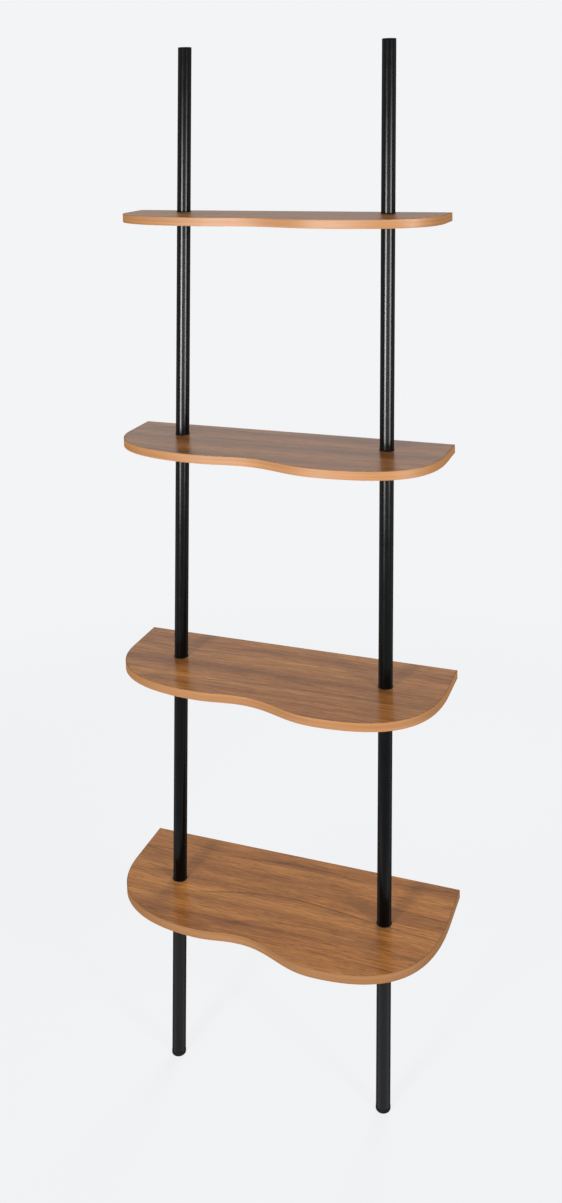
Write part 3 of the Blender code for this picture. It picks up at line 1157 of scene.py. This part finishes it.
@dataclass(frozen=True)
class Studio:
    """Pale floor and surroundings, soft lamps and the camera."""

    bands: Sequence[Object]
    tubes: Sequence[Object]
    white: Colour = (0.896, 0.905, 0.922)
    ambient: float = 0.25
    floor_size: float = 80.0
    floor_drop: float = 0.0004
    floor_colour: Colour = (0.80, 0.805, 0.815)
    floor_share: float = 0.14
    floor_lift: float = 1.04
    floor_near: float = 0.5
    floor_far: float = 2.6
    frame_height: float = 1203.0
    camera_spot: Triple = (0.7503, -1.9083, 1.7178)
    yaw: float = math.radians(20.533)
    pitch: float = math.radians(4.156)
    roll: float = math.radians(-1.218)
    focal_pixels: float = 1202.7
    horizon_pixel: float = 204.5
    clip: tuple[float, float] = (0.05, 200.0)
    lamps: tuple[Softbox, ...] = (
        Softbox("left_softbox", LampRole.LIGHT, azimuth=-14.0, height=1.30, size=(0.50, 1.50), radiance=7.8),
        Softbox("right_softbox", LampRole.LIGHT, azimuth=63.0, height=1.30, size=(0.50, 1.50), radiance=5.3),
        Softbox("back_softbox", LampRole.LIGHT, azimuth=180.0, height=1.06, size=(1.20, 1.20), radiance=4.1),
        Softbox("left_gleam", LampRole.GLEAM, azimuth=-14.0, height=1.30, size=(0.50, 1.50), radiance=8.1),
        Softbox("right_gleam", LampRole.GLEAM, azimuth=63.0, height=1.30, size=(0.50, 1.50), radiance=5.8),
        Softbox("left_strip", LampRole.STREAK, azimuth=-14.0, height=1.32, size=(0.95, 1.55), radiance=46.0),
        Softbox("right_strip", LampRole.STREAK, azimuth=63.0, height=1.32, size=(0.95, 1.55), radiance=25.0),
        Softbox("middle_strip", LampRole.STREAK, azimuth=24.5, height=1.32, size=(1.60, 1.55), radiance=2.4),
        Softbox(
            "floor_panel",
            LampRole.STREAK,
            azimuth=20.0,
            height=0.002,
            size=(1.60, 1.10),
            radiance=0.85,
            distance=0.32,
            tilt=math.radians(180),
        ),
    )

    @staticmethod
    def seen(g: Graph) -> Socket:
        """How much a ray comes from the camera, a reflection or a clear material.

        Args:
            g: The tree to add it to.

        Returns:
            1 for such a ray and 0 for one that lights a surface.
        """
        rays = g.node("ShaderNodeLightPath").outputs
        either = g.maths("MAXIMUM", rays["Is Camera Ray"], rays["Is Glossy Ray"])
        return g.maths("MAXIMUM", either, rays["Is Transmission Ray"])

    def build_world(self) -> None:
        """Pale surroundings, which light the bookcase evenly."""
        world = bpy.data.worlds.new("studio")
        world.use_nodes = True
        bpy.context.scene.world = world
        world.node_tree.nodes.clear()
        g = Graph(world.node_tree)
        light = g.node("ShaderNodeBackground", {"Color": (1.0, 1.0, 1.0, 1.0), "Strength": self.ambient})
        backdrop = g.node("ShaderNodeBackground", {"Color": (*self.white, 1.0), "Strength": 1.0})
        both = g.node("ShaderNodeMixShader", {0: self.seen(g), 1: light.outputs[0], 2: backdrop.outputs[0]})
        g.node("ShaderNodeOutputWorld", {"Surface": both.outputs[0]})

    def build_floor(self) -> None:
        """The floor, which keeps the bookcase's shadow."""
        bm = bmesh.new()
        half = self.floor_size / 2
        corners = ((-half, -half), (half, -half), (half, half), (-half, half))
        bm.faces.new([bm.verts.new((x, y, -self.floor_drop)) for x, y in corners])
        material = bpy.data.materials.new("pale_floor")
        material.use_nodes = True
        material.node_tree.nodes.clear()
        g = Graph(material.node_tree)
        place = g.node("ShaderNodeTexCoord").outputs["Object"]
        away = g.node("ShaderNodeVectorMath", {0: place}, operation="LENGTH").outputs["Value"]
        reach = (self.floor_near, self.floor_far)
        share = g.maths("MULTIPLY", g.spread(away, *reach, 1.0 - self.floor_share, 1.0), self.seen(g))
        lift = g.spread(away, *reach, self.floor_lift, 1.0)
        paint = g.node("ShaderNodeBsdfDiffuse", {"Color": (*self.floor_colour, 1.0)})
        glow = g.node("ShaderNodeEmission", {"Color": (*self.white, 1.0), "Strength": lift})
        both = g.node("ShaderNodeMixShader", {0: share, 1: paint.outputs[0], 2: glow.outputs[0]})
        g.node("ShaderNodeOutputMaterial", {"Surface": both.outputs[0]})
        floor = linked("floor", closed_mesh("floor", bm, material))

    def build_camera(self) -> None:
        """The camera at the photograph's viewing angle."""
        turn = (
            Matrix.Rotation(self.yaw, 4, "Z")
            @ Matrix.Rotation(math.pi / 2 - self.pitch, 4, "X")
            @ Matrix.Rotation(self.roll, 4, "Z")
        )
        data = bpy.data.cameras.new("camera")
        data.lens = self.focal_pixels / self.frame_height * data.sensor_width
        data.shift_y = (self.horizon_pixel - self.frame_height / 2) / self.frame_height
        data.dof.use_dof = False
        data.clip_start, data.clip_end = self.clip
        camera = linked("camera", data)
        camera.matrix_world = Matrix.Translation(self.camera_spot) @ turn
        bpy.context.scene.camera = camera

    def build_lamps(self) -> None:
        """The lamps, each of which reaches the pieces of its role."""
        pieces = {
            LampRole.LIGHT: [*self.bands, *self.tubes],
            LampRole.GLEAM: self.bands,
            LampRole.STREAK: self.tubes,
        }
        reach: dict[LampRole, Collection] = {}
        for role, members in pieces.items():
            reach[role] = bpy.data.collections.new(role.name.lower())
            for piece in members:
                reach[role].objects.link(piece)
        for member in reach[LampRole.LIGHT].collection_objects:
            member.light_linking.link_state = "EXCLUDE"
        for lamp in self.lamps:
            lamp.build(reach[lamp.role])

    def build(self) -> None:
        """Sets up floor, surroundings, lamps and camera."""
        self.build_world()
        self.build_floor()
        self.build_lamps()
        self.build_camera()
        bpy.context.scene.view_settings.view_transform = "Standard"


def main() -> None:
    """Builds the bookcase, piece by piece, and the studio round it."""
    logging.basicConfig(level=logging.INFO, format="%(message)s")
    plan = LadderPlan()
    finishes = {slot: finish.material() for slot, finish in FINISHES.items()}
    edges = EdgeSweep()
    bands: list[Object] = []
    tubes: list[Object] = []
    for name, depth in zip(plan.shelf_names, plan.shelf_depths):
        shelf = Shelf(name, depth, plan, finishes, edges)
        shelf.build()
        bands += shelf.bands
    for side in Side:
        pole = Pole(side, plan, finishes)
        pole.build()
        tubes += pole.tubes
    Joints(plan, finishes, SeatRepeat(), ThreadedRod()).build()
    Studio(bands, tubes).build()


if __name__ == "__main__":
    main()
